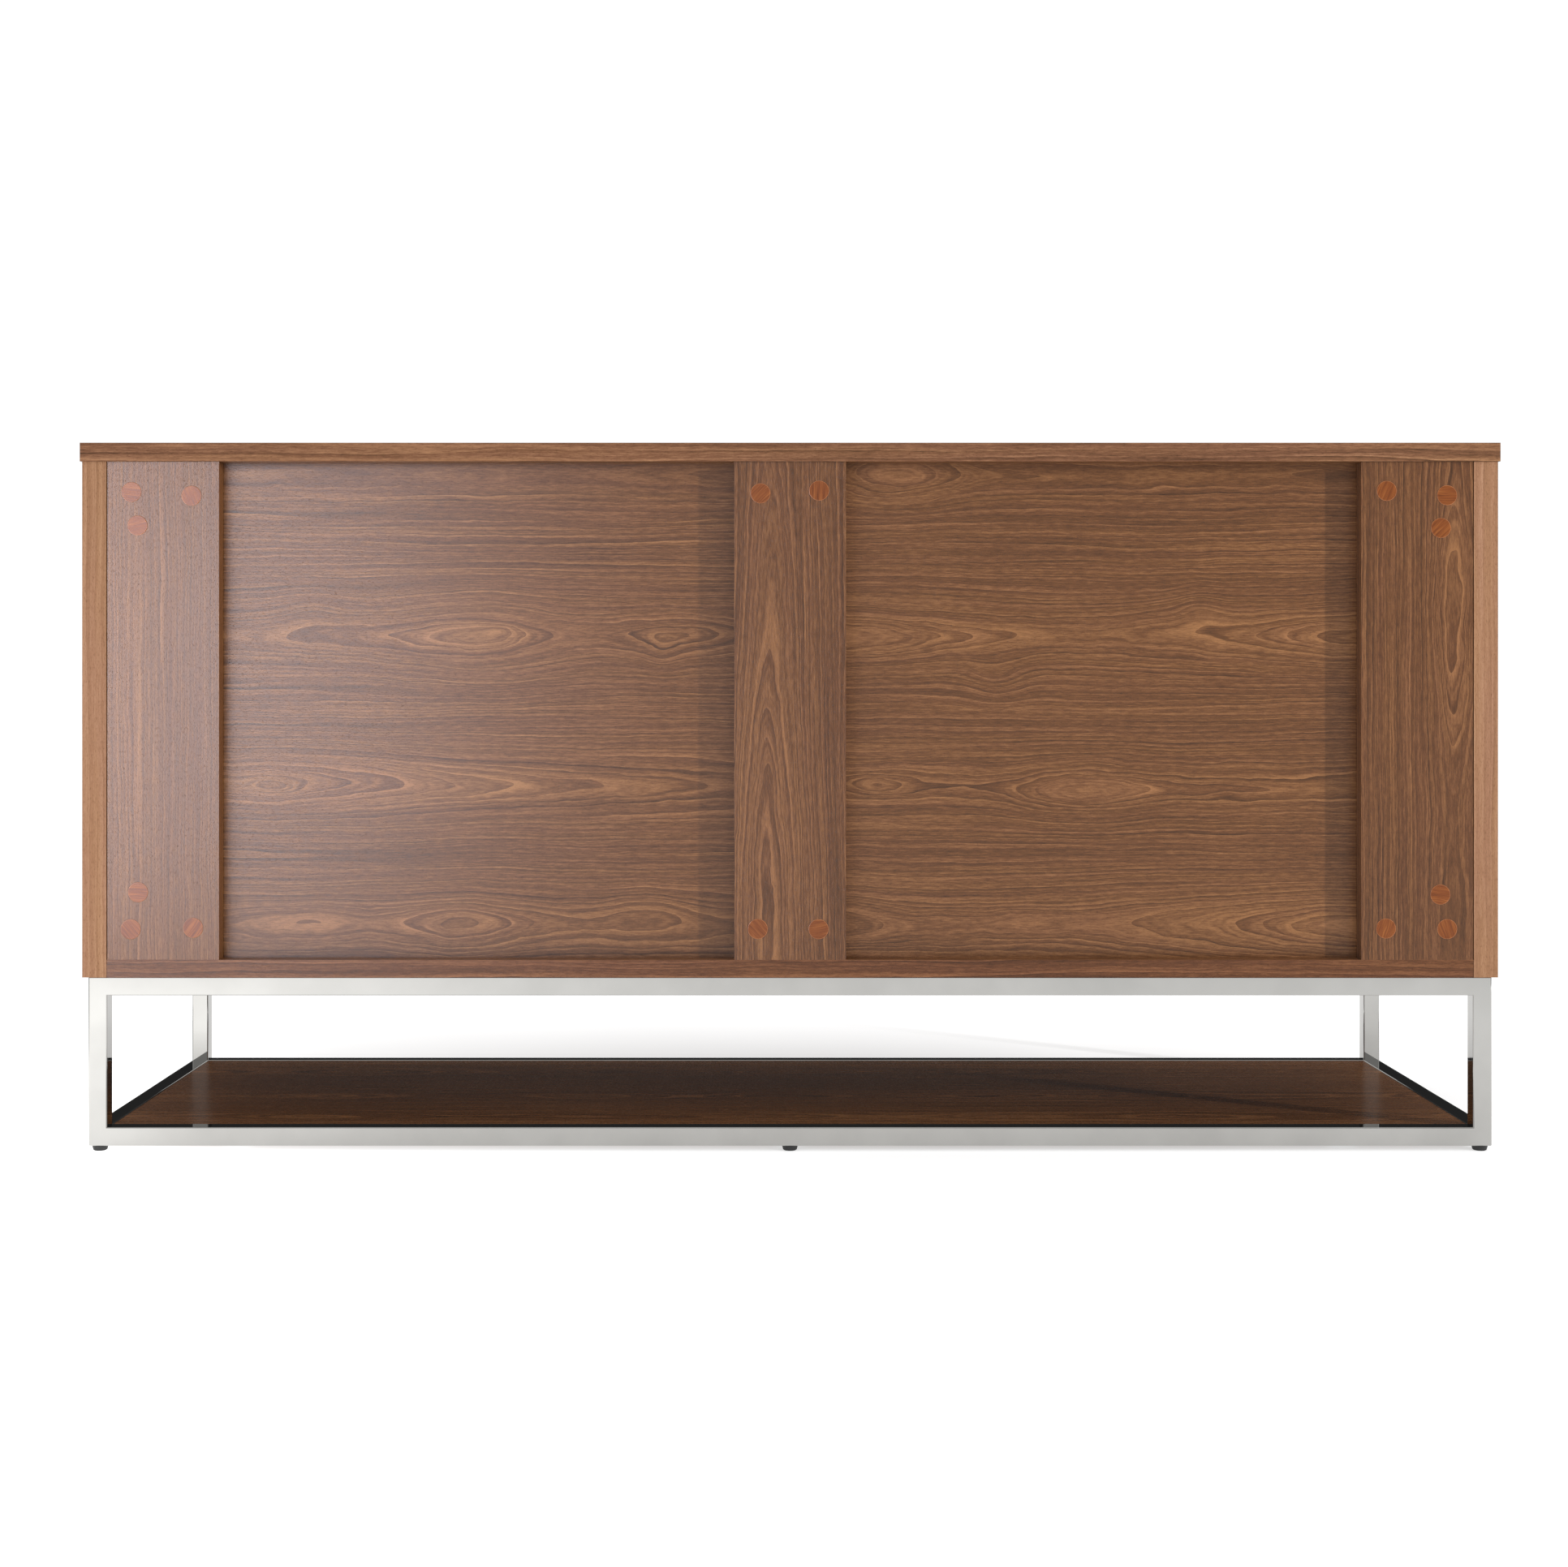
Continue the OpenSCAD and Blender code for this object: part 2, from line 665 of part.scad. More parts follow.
for (s = [["left", -1], ["right", 1]]) {
    side_rail(s[1], top_rail_z);
    side_rail(s[1], low_rail_z);
}
low_shelf();
low_shelf_tabs();
low_shelf_screws();
base_bolts();
base_inserts();
glides();
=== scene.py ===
"""Looks of the media cabinet: walnut boards, a polished tube base and their small hardware."""

import math

import bmesh
import bpy
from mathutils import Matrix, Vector


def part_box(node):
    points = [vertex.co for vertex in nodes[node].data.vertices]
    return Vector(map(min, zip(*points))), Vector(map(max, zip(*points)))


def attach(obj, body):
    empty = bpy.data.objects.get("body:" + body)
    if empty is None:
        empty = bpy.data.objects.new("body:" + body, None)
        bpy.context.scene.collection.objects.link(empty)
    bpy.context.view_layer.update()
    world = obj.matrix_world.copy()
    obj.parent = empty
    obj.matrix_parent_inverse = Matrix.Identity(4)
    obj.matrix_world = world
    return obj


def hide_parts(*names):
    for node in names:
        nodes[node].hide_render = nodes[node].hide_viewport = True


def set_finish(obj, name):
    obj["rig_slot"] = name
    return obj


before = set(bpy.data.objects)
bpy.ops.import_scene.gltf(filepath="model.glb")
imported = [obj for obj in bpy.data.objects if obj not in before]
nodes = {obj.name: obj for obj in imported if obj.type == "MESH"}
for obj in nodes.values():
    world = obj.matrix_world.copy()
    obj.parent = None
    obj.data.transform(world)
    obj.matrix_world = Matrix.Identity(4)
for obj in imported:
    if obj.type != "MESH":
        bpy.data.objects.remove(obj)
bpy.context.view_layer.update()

MM = 0.001
DOORS = ("outer_left", "inner_left", "inner_right", "outer_right")


# ---------------------------------------------------------------- node trees written as arithmetic

def srgb(red, green, blue):
    """A display colour, each part 0 to 255, as the linear colour that shaders take."""
    parts = [c / 255 for c in (red, green, blue)]
    return [c / 12.92 if c <= 0.04045 else ((c + 0.055) / 1.055) ** 2.4 for c in parts] + [1.0]


class Value:
    """One output of a node tree. Arithmetic on it adds Math nodes."""

    def __init__(self, tree, socket):
        self.tree = tree
        self.socket = socket

    def math(self, operation, *others):
        node = self.tree.nodes.new("ShaderNodeMath")
        node.operation = operation
        for given, socket in zip((self, *others), node.inputs):
            plug(self.tree, given, socket)
        return Value(self.tree, node.outputs[0])

    def __add__(self, other):
        return self.math("ADD", other)

    def __sub__(self, other):
        return self.math("SUBTRACT", other)

    def __mul__(self, other):
        return self.math("MULTIPLY", other)

    def __truediv__(self, other):
        return self.math("DIVIDE", other)

    def squared(self):
        return self.math("MULTIPLY", self)

    def fading(self, reach):
        """1 at zero, falling smoothly on both sides to about a third at reach."""
        return ((self / reach).squared() * -1.0).math("EXPONENT")

    def between(self, low, high):
        """0 below low, 1 above high, and a smooth step from one to the other."""
        node = self.tree.nodes.new("ShaderNodeMapRange")
        node.interpolation_type = "SMOOTHSTEP"
        for given, socket in zip((self, low, high, 0.0, 1.0), node.inputs):
            plug(self.tree, given, socket)
        return Value(self.tree, node.outputs[0])


def plug(tree, given, socket):
    """Links a Value or a socket to an input, or sets the input to a plain number or colour."""
    if isinstance(given, Value):
        tree.links.new(given.socket, socket)
    elif isinstance(given, bpy.types.NodeSocket):
        tree.links.new(given, socket)
    else:
        socket.default_value = given


class Look:
    """A material on one Principled shader. x, y and z are the object's own coordinates in mm."""

    def __init__(self, name, **shader):
        self.material = bpy.data.materials.new(name)
        self.material.use_nodes = True
        self.tree = self.material.node_tree
        self.tree.nodes.clear()
        self.shader = self.tree.nodes.new("ShaderNodeBsdfPrincipled")
        output = self.tree.nodes.new("ShaderNodeOutputMaterial")
        self.tree.links.new(self.shader.outputs[0], output.inputs[0])
        for label, value in shader.items():
            self.set(label.replace("_", " ").title().replace("Ior", "IOR"), value)
        coordinates = self.tree.nodes.new("ShaderNodeTexCoord")
        split = self.tree.nodes.new("ShaderNodeSeparateXYZ")
        self.tree.links.new(coordinates.outputs["Object"], split.inputs[0])
        self.x, self.y, self.z = (Value(self.tree, out) * (1 / MM) for out in split.outputs)

    def set(self, label, value):
        plug(self.tree, value, self.shader.inputs[label])

    def noise(self, x, y=0.0, z=0.0, detail=0, roughness=0.5):
        """Smooth noise from about 0.25 to 0.75, with features about one unit across."""
        point = self.tree.nodes.new("ShaderNodeCombineXYZ")
        for given, socket in zip((x, y, z), point.inputs):
            plug(self.tree, given, socket)
        node = self.tree.nodes.new("ShaderNodeTexNoise")
        node.inputs["Scale"].default_value = 1.0
        node.inputs["Detail"].default_value = detail
        node.inputs["Roughness"].default_value = roughness
        self.tree.links.new(point.outputs[0], node.inputs["Vector"])
        return Value(self.tree, node.outputs[0])

    def hill(self, u, v, centre_u, centre_v, length, width):
        """A smooth hill of height 1, length and width from its centre to where it is a third as high."""
        q = ((u - centre_u) / length).squared() + ((v - centre_v) / width).squared()
        return (q * -1.0).math("EXPONENT")

    def ramp(self, value, stops):
        """A colour from a list of (place, colour) stops."""
        node = self.tree.nodes.new("ShaderNodeValToRGB")
        elements = node.color_ramp.elements
        while len(elements) < len(stops):
            elements.new(0.5)
        for element, (place, colour) in zip(elements, stops):
            element.position = place
            element.color = colour
        plug(self.tree, value, node.inputs[0])
        return node.outputs[0]

    def blend(self, kind, share, first, second):
        """Two colours mixed by a blend mode such as MULTIPLY."""
        node = self.tree.nodes.new("ShaderNodeMix")
        node.data_type = "RGBA"
        node.blend_type = kind
        plug(self.tree, share, node.inputs["Factor"])
        colours = [socket for socket in node.inputs if socket.type == "RGBA"]
        plug(self.tree, first, colours[0])
        plug(self.tree, second, colours[1])
        return next(socket for socket in node.outputs if socket.type == "RGBA")

    def bump(self, height, distance_mm, strength=1.0):
        node = self.tree.nodes.new("ShaderNodeBump")
        node.inputs["Strength"].default_value = strength
        node.inputs["Distance"].default_value = distance_mm * MM
        plug(self.tree, height, node.inputs["Height"])
        self.tree.links.new(node.outputs[0], self.shader.inputs["Normal"])


# ---------------------------------------------------------------- walnut

def tones(darkest, middle, lightest):
    """A colour ramp's stops through three display colours."""
    return ((0.0, srgb(*darkest)), (0.5, srgb(*middle)), (1.0, srgb(*lightest)))


HEARTWOOD = tones((60, 37, 19), (101, 64, 35), (146, 101, 62))
TOP_RIM = tones((70, 48, 32), (117, 81, 57), (158, 117, 84))
BOTTOM_RIM = tones((58, 35, 20), (95, 58, 34), (134, 89, 57))
STRAP = tones((56, 34, 17), (95, 59, 32), (139, 95, 58))
EDGE_BAND = tones((118, 84, 58), (150, 111, 82), (180, 141, 110))


def nearest_row(place, rows):
    """How far a place across the grain is from the nearest row."""
    away = None
    for row in rows:
        distance = (place - row).math("ABSOLUTE")
        away = distance if away is None else away.math("MINIMUM", distance)
    return away


def ring_distance(look, u, v, seed, rows, hills, wild):
    """The distance whose level lines are the grain, and how much lighter the wood is near the log's heart.

    Each noise's divisors are the sizes of its features in mm, along the grain and across it.
    """
    wander = look.noise(u / 260, v / 70, seed, detail=1) - 0.5
    lane = v + wander * 14
    tilt = lane * 0.12
    shiver = look.noise(u / 48, v / 18, seed + 3.1, detail=2) - 0.5
    if not rows:
        return lane + shiver * 4 + tilt, 0.0
    row_reach = 26
    near = nearest_row(lane, rows).fading(row_reach)
    lane = lane + shiver * (near * 7 + 4)
    away = nearest_row(lane, rows)
    ring = (away.squared() + 90.0).math("SQRT") + away.squared() / 170
    chance_reach = 30
    chance = (look.noise(u / 150, lane / 400, seed + 5.7) - 0.47) * (60 * wild)
    ring = ring - chance * away.fading(chance_reach)
    for centre_u, centre_v, length, width, rise in hills:
        ring = ring - look.hill(u, lane, centre_u, centre_v, length, width) * rise
    heart = (ring * -1.0).between(-9.0, 12.0)
    return ring + tilt, near * 0.03 + heart * 0.09


def walnut(
    name, along, across, through, face, seed,
    rows=(), hills=(), stops=HEARTWOOD, wild=1.0, contrast=1.0, gloss=0.35, haze=0.36,
):
    """Walnut veneer. along, across and through say which axes the grain runs along, across and into.

    The grain's lines are level lines of a ring distance. It grows away from each row, a height at which the
    cut runs closest to the log's heart. Hills on it (centre along, centre across, length, width and rise,
    in mm) close the lines into ovals and flames. face is where the board's main face lies on the through
    axis, wild scales the ovals that come by chance along the rows, and haze is the middle roughness.
    """
    look = Look(name, roughness=0.4, specular_ior_level=gloss)
    axis = {"X": look.x, "Y": look.y, "Z": look.z}
    u = axis[along]
    depth = axis[through] - face
    v = axis[across] + depth * 0.7
    ring, heart_glow = ring_distance(look, u, v, seed, rows, hills, wild)

    ring_spacing = 9.5
    count = ring / ring_spacing + (look.noise(ring / 26, seed, u / 900) - 0.5) * 3
    phase = count.math("FRACT")
    strength = look.noise(ring / 11, u / 300, seed + 1.3, detail=1) - 0.22
    dark_line = phase.between(0.45, 0.97) * strength
    light_line = (phase * -1 + 0.36).between(0.0, 0.36) * strength
    bands = look.noise(ring / 9, u / 700, seed + 2.9, detail=3, roughness=0.85) - 0.5
    fibres = look.noise(ring / 2.4 + v / 9, u / 65, seed + 4.4, detail=2, roughness=0.6) - 0.5
    hairs = look.noise(v / 1.3, u / 11, seed + 8.8, detail=2, roughness=0.6) - 0.5
    drift = look.noise(u / 330, v / 130, seed + 6.5) - 0.5
    middle_tone = 0.54
    tone = (
        bands * (1.05 * contrast)
        + (light_line - dark_line) * (0.60 * contrast)
        + fibres * (0.60 * contrast)
        + hairs * (0.75 * contrast)
        + drift * 0.15
        + middle_tone
        + heart_glow
    )
    colour = look.ramp(tone, stops)
    warmth = look.noise(ring / 14, u / 300, seed + 9.2, detail=1).between(0.3, 0.7)
    cooler = look.blend("MULTIPLY", 1.0, colour, (0.96, 0.93, 1.10, 1.0))
    colour = look.blend("MIX", warmth * 0.5, colour, cooler)
    pores = look.noise(u / 3.6, v / 0.55, depth / 0.55 + seed, detail=1).between(0.58, 0.68)
    colour = look.blend("MULTIPLY", pores * 0.5, colour, (0.45, 0.38, 0.34, 1.0))
    look.set("Base Color", colour)
    look.set("Roughness", hairs * 0.15 + pores * 0.15 + haze)
    look.bump((fibres * 0.5 - pores) + hairs * 0.4, 0.05)
    return look.material


# ---------------------------------------------------------------- small materials

def polished_tube():
    """Bright polished metal with a faint haze and the slight waves of a buffed surface."""
    look = Look("polished_tube", metallic=1.0)
    haze = look.noise(look.x / 60, look.y / 60, look.z / 60, detail=3)
    look.set("Base Color", look.ramp(haze, ((0.3, srgb(168, 167, 164)), (0.7, srgb(176, 175, 172)))))
    look.set("Roughness", haze * 0.04 + 0.015)
    look.bump(look.noise(look.x / 90, look.y / 40, look.z / 40), 0.008)
    return look.material


def cast_metal(name, dark, light, roughness):
    """Metal with a fine grain between two colours."""
    look = Look(name, metallic=1.0)
    grain = look.noise(look.x / 1.5, look.y / 1.5, look.z / 1.5, detail=4)
    look.set("Base Color", look.ramp(grain, ((0.3, srgb(*dark)), (0.7, srgb(*light)))))
    look.set("Roughness", grain * 0.2 + roughness)
    look.bump(grain, 0.03)
    return look.material


def moulded_plastic(name, dark, light, roughness):
    """A dull surface with a fine grain between two colours, for plastic and for the wooden dowels."""
    look = Look(name, specular_ior_level=0.5)
    grain = look.noise(look.x / 0.8, look.y / 0.8, look.z / 0.8, detail=3)
    look.set("Base Color", look.ramp(grain, ((0.3, srgb(*dark)), (0.7, srgb(*light)))))
    look.set("Roughness", grain * 0.15 + roughness)
    look.bump(grain, 0.04)
    return look.material


def cherry_cover(name, angle, colours=((84, 38, 8), (119, 61, 18), (146, 86, 36))):
    """The stick-on covers: a reddish wood foil.

    angle is the face attribute that holds the grain's turn from level, in radians. With None, each loose
    piece of the mesh has a turn of its own.
    """
    look = Look(name, specular_ior_level=0.35)
    if angle is None:
        piece = look.tree.nodes.new("ShaderNodeNewGeometry")
        turn = Value(look.tree, piece.outputs["Random Per Island"]) * 6.0
    else:
        attribute = look.tree.nodes.new("ShaderNodeAttribute")
        attribute.attribute_name = angle
        turn = Value(look.tree, attribute.outputs["Fac"])
    sine = turn.math("SINE")
    cosine = turn.math("COSINE")
    level = look.x + look.y
    u = level * cosine + look.z * sine
    v = look.z * cosine - level * sine
    bend = look.noise(u / 14, v / 7, turn * 7) - 0.5
    lines = look.noise(v / 1.1 + bend * 2, u / 24, turn * 9, detail=2)
    streaks = look.noise(v / 3.5, u / 40, turn * 5)
    tone = (lines - 0.5) * 1.5 + (streaks - 0.5) * 0.5 + 0.5
    look.set("Base Color", look.ramp(tone, tones(*colours)))
    look.set("Roughness", lines * 0.15 + 0.30)
    look.bump(lines, 0.03)
    return look.material


# ---------------------------------------------------------------- geometry

def soften(node):
    """Rounds a CAD node's sharp edges with modifiers, which leave its own mesh as it is."""
    piece = nodes[node]
    weld = piece.modifiers.new("weld", "WELD")
    weld.merge_threshold = 0.002 * MM
    flat = piece.modifiers.new("flat", "DECIMATE")
    flat.decimate_type = "DISSOLVE"
    flat.angle_limit = math.radians(0.3)
    flat.delimit = {"MATERIAL"}
    bevel = piece.modifiers.new("bevel", "BEVEL")
    bevel.width = 0.7 * MM
    bevel.segments = 2
    bevel.limit_method = "ANGLE"
    bevel.angle_limit = math.radians(40)
    bevel.use_clamp_overlap = True
    normals = piece.modifiers.new("normals", "WEIGHTED_NORMAL")
    normals.weight = 100


def paint(node, material, slot):
    """Gives a whole CAD node one material and names its slot."""
    piece = nodes[node]
    piece.data.materials.clear()
    piece.data.materials.append(material)
    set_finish(piece, slot)


def paint_edges(node, material, axis):
    """Gives the faces that look along an axis (0, 1 or 2) an edge band's material."""
    piece = nodes[node]
    piece.data.materials.append(material)
    band = len(piece.data.materials) - 1
    for face in piece.data.polygons:
        if abs(face.normal[axis]) > 0.9:
            face.material_index = band


LEG_NODES = [f"base_leg_{end}_{side}" for end in ("front", "rear") for side in ("left", "right")]
RAIL_NODES = [
    f"base_rail_{place}_{level}"
    for place in ("front", "rear", "left", "right")
    for level in ("top", "bottom")
]
TUBE_NODES = LEG_NODES + RAIL_NODES

# How far each rear cover's grain is turned from level, in degrees, from +X to -X and from the top down.
COVER_TURNS = (6, 65, 165, 3, 125, 50, 90, 135, 45, 172, 112, 0, 135, 8, 108, 72)


def loose_pieces(mesh):
    """The corners of each separate piece of a mesh, as a list for each piece."""
    place = [tuple(round(c / MM, 2) for c in vertex.co) for vertex in mesh.vertices]
    neighbours = {spot: set() for spot in place}
    for edge in mesh.edges:
        first, second = (place[index] for index in edge.vertices)
        neighbours[first].add(second)
        neighbours[second].add(first)
    pieces = []
    rest = dict.fromkeys(place)
    while rest:
        found = [rest.popitem()[0]]
        for spot in found:
            fresh = sorted(other for other in neighbours[spot] if other in rest)
            for other in fresh:
                del rest[other]
            found.extend(fresh)
        pieces.append([Vector(spot) * MM for spot in found])
    return pieces


def cover_places():
    """Each rear cover's centre, back, front and radius, in the order of COVER_TURNS."""
    places = []
    for points in loose_pieces(nodes["rear_cam_covers"].data):
        low = Vector([min(point[i] for point in points) for i in range(3)])
        high = Vector([max(point[i] for point in points) for i in range(3)])
        places.append(((low + high) / 2, low.y, high.y, (high.x - low.x) / 2))
    places.sort(key=lambda place: (-round(place[0].x / 0.4), -place[0].z))
    return places


def add_cover(mesh, turn, degrees, centre, back, front, radius):
    """Adds one disc with a thin bevelled rim to a mesh and writes the grain's turn on its faces."""
    steps = 48
    profile = (
        (radius, back),
        (radius, front - 0.15 * MM),
        (radius - 0.15 * MM, front - 0.04 * MM),
        (radius - 0.5 * MM, front),
    )
    angles = [2 * math.pi * step / steps for step in range(steps)]
    rings = []
    for r, y in profile:
        corners = [(centre.x + r * math.cos(t), y, centre.z + r * math.sin(t)) for t in angles]
        rings.append([mesh.verts.new(corner) for corner in corners])
    faces = [mesh.faces.new(rings[-1][::-1]), mesh.faces.new(rings[0])]
    for level, (outer, inner) in enumerate(zip(rings, rings[1:])):
        for step in range(steps):
            after = (step + 1) % steps
            face = mesh.faces.new((outer[step], inner[step], inner[after], outer[after]))
            # The bevel's faces take material 1, whose lighter colours are a painted highlight along the
            # rim.
            face.material_index = 1 if level else 0
            faces.append(face)
    for face in faces:
        face[turn] = math.radians(degrees)
        face.smooth = len(face.verts) == 4


def rear_covers():
    """The sixteen stick-on covers behind, as one piece."""
    mesh = bmesh.new()
    turn = mesh.faces.layers.float.new("turn")
    for place, degrees in zip(cover_places(), COVER_TURNS):
        add_cover(mesh, turn, degrees, *place)
    bmesh.ops.recalc_face_normals(mesh, faces=mesh.faces)
    data = bpy.data.meshes.new("rear_covers")
    mesh.to_mesh(data)
    mesh.free()
    piece = bpy.data.objects.new("rear_covers", data)
    bpy.context.scene.collection.objects.link(piece)
    return piece


def base_frame():
    """The welded base as one mesh: a cage of square tube with small round corners and no seams."""
    boxes = [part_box(name) for name in TUBE_NODES]
    low = Vector([min(b[0][i] for b in boxes) for i in range(3)])
    high = Vector([max(b[1][i] for b in boxes) for i in range(3)])
    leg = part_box("base_leg_front_left")
    tube = leg[1].x - leg[0].x
    stations = [(low[i], low[i] + tube, high[i] - tube, high[i]) for i in range(3)]
    cells = [(i, j, k) for i in range(3) for j in range(3) for k in range(3)]
    solid = {cell for cell in cells if sum(1 for n in cell if n == 1) <= 1}
    mesh = bmesh.new()
    corners = {}

    def corner(i, j, k):
        if (i, j, k) not in corners:
            corners[i, j, k] = mesh.verts.new((stations[0][i], stations[1][j], stations[2][k]))
        return corners[i, j, k]

    for cell in sorted(solid):
        for axis in range(3):
            for side in (0, 1):
                beyond = list(cell)
                beyond[axis] += 1 if side else -1
                if tuple(beyond) in solid:
                    continue
                ring = []
                for step in ((0, 0), (1, 0), (1, 1), (0, 1)):
                    at = list(cell)
                    at[axis] += side
                    at[(axis + 1) % 3] += step[0]
                    at[(axis + 2) % 3] += step[1]
                    ring.append(corner(*at))
                mesh.faces.new(ring if side else ring[::-1])
    mesh.normal_update()
    bmesh.ops.dissolve_limit(mesh, angle_limit=0.01, verts=mesh.verts, edges=mesh.edges)
    outside = [edge for edge in mesh.edges if edge.is_convex and edge.calc_face_angle() > 1]
    corner_radius = 1.2 * MM
    bmesh.ops.bevel(
        mesh, geom=outside, offset=corner_radius, segments=3, profile=0.5,
        affect="EDGES", clamp_overlap=True,
    )
    data = bpy.data.meshes.new("base_frame")
    mesh.to_mesh(data)
    mesh.free()
    for face in data.polygons:
        face.use_smooth = max(abs(part) for part in face.normal) < 0.99
    piece = bpy.data.objects.new("base_frame", data)
    bpy.context.scene.collection.objects.link(piece)
    return piece


# ---------------------------------------------------------------- dressing the frame

# The ovals, flames and arches of the two back panels, as hills for walnut(): centre along, centre across,
# length, width and rise, in mm.
RIGHT_FIGURES = (
    (337, 557, 78, 52, 30),
    (440, 557, 90, 20, 12),
    (315, 559, 15, 8, 8),
    (517, 588, 34, 20, 14),
    (122, 556, 64, 22, 20),
    (137, 534, 18, 16, 13),
    (640, 400, 310, 48, 60),
    (557, 391, 26, 14, 9),
    (360, 241, 66, 42, 28),
    (520, 243, 90, 26, 16),
    (150, 262, 50, 22, 16),
)
LEFT_FIGURES = (
    (-118, 736, 72, 50, 34),
    (-10, 557, 200, 42, 44),
    (-660, 557, 220, 44, 52),
    (-222, 504, 30, 26, 22),
    (-442, 590, 28, 20, 19),
    (-95, 392, 32, 15, 12),
    (-330, 386, 62, 42, 16),
    (-285, 383, 60, 34, 14),
    (-500, 387, 130, 24, 14),
    (-50, 252, 60, 28, 20),
    (-264, 246, 50, 18, 10),
    (-630, 238, 190, 50, 56),
)


def face_of(node, end, axis):
    """Where a node's low (0) or high (1) face on an axis lies, to the nearest whole millimetre."""
    return round(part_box(node)[end]["XYZ".index(axis)] / MM)


def dress_boards():
    """Gives every board its veneer. The wood's figure is reckoned from the board's main face."""
    top = face_of("top_panel", 1, "Z")
    rear = face_of("centre_rear_strap", 1, "Y")
    panel_rear = face_of("left_back_panel", 1, "Y")
    front = face_of("outer_left_door", 0, "Y")
    shelf_top = face_of("left_shelf", 1, "Z")
    low_shelf_top = face_of("low_shelf", 1, "Z")
    carcass = walnut("walnut_carcass", "X", "Y", "Z", top, 11, rows=(-150, 0, 150), wild=0.8)
    top_rim = walnut("walnut_top_rim", "X", "Z", "Y", rear + 2, 13, stops=TOP_RIM, gloss=0.1)
    bottom_rim = walnut("walnut_bottom_rim", "X", "Z", "Y", rear, 17, stops=BOTTOM_RIM, gloss=0.25)
    top_end = walnut("walnut_top_end", "Y", "Z", "X", 0, 19, stops=TOP_RIM, gloss=0.1)
    upright = walnut("walnut_upright", "Z", "Y", "X", 0, 23, rows=(-120, 60), gloss=0.05)
    edge_band = walnut(
        "walnut_edge_band", "Z", "X", "Y", rear, 31,
        stops=EDGE_BAND, contrast=0.6, gloss=0.1,
    )
    back = {"rows": (243, 395, 557, 732), "wild": 0.25}
    right_back = walnut("walnut_back_right", "X", "Z", "Y", panel_rear, 47, hills=RIGHT_FIGURES, **back)
    left_back = walnut("walnut_back_left", "X", "Z", "Y", panel_rear, 53, hills=LEFT_FIGURES, **back)
    right_strap = walnut("walnut_strap_right", "Z", "X", "Y", rear, 58, rows=(790,), wild=0.3, contrast=0.7)
    centre_strap = walnut(
        "walnut_strap_centre", "Z", "X", "Y", rear, 59,
        rows=(25,), hills=((150, 25, 430, 50, 80),), wild=0.2, stops=STRAP,
    )
    left_strap = walnut(
        "walnut_strap_left", "Z", "X", "Y", rear, 61,
        rows=(-711,), hills=((575, -711, 108, 22, 27),), wild=0.3, stops=STRAP,
    )
    door = walnut("walnut_door", "X", "Z", "Y", front, 67, rows=(260, 430, 610))
    door_edge = walnut("walnut_door_edge", "Z", "Y", "X", 0, 73, gloss=0.15)
    shelf = walnut("walnut_shelf", "X", "Y", "Z", shelf_top, 71, rows=(-60, 90))
    low_shelf = walnut(
        "walnut_low_shelf", "X", "Y", "Z", low_shelf_top, 83,
        rows=(-120, 40, 160), gloss=0.08, haze=0.24,
    )
    for node in ("top_panel", "bottom_panel"):
        paint(node, carcass, "walnut_carcass")
    paint_edges("top_panel", top_rim, 1)
    paint_edges("top_panel", top_end, 0)
    paint_edges("bottom_panel", bottom_rim, 1)
    for node in ("left_side_panel", "right_side_panel", "centre_divider"):
        paint(node, upright, "walnut_carcass")
        paint_edges(node, edge_band, 1)
    paint("left_back_panel", left_back, "walnut_back")
    paint("right_back_panel", right_back, "walnut_back")
    paint("left_rear_strap", left_strap, "walnut_strap")
    paint("centre_rear_strap", centre_strap, "walnut_strap")
    paint("right_rear_strap", right_strap, "walnut_strap")
    for node in ("left_shelf", "right_shelf"):
        paint(node, shelf, "walnut_shelf")
    paint("low_shelf", low_shelf, "walnut_low_shelf")
    for door_name in DOORS:
        paint(f"{door_name}_door", door, "walnut_door")
        paint_edges(f"{door_name}_door", door_edge, 0)
    for node, piece in nodes.items():
        if piece.get("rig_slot", "").startswith("walnut"):
            soften(node)


ZINC_NODES = (
    "shelf_pins", "cam_locks", "cam_bolts", "latch_screws", "latch_springs",
    "low_shelf_screws", "base_bolts",
)


def hardware_slots():
    """Which slot each small part belongs to."""
    slots = {}
    for door_name in DOORS:
        for part in ("pivots", "screws", "strike"):
            slots[f"{door_name}_{part}"] = "zinc"
        slots[f"{door_name}_plunger"] = "plunger_plastic"
    slots.update(dict.fromkeys(ZINC_NODES, "zinc"))
    slots.update(pivot_bushes="brass", base_inserts="brass")
    slots.update(rear_cam_covers="cover", inner_cam_covers="cover")
    slots.update(dowels="beech", latch_housings="latch_plastic", glides="glide_plastic")
    slots.update(low_shelf_tabs="polished_tube")
    return slots


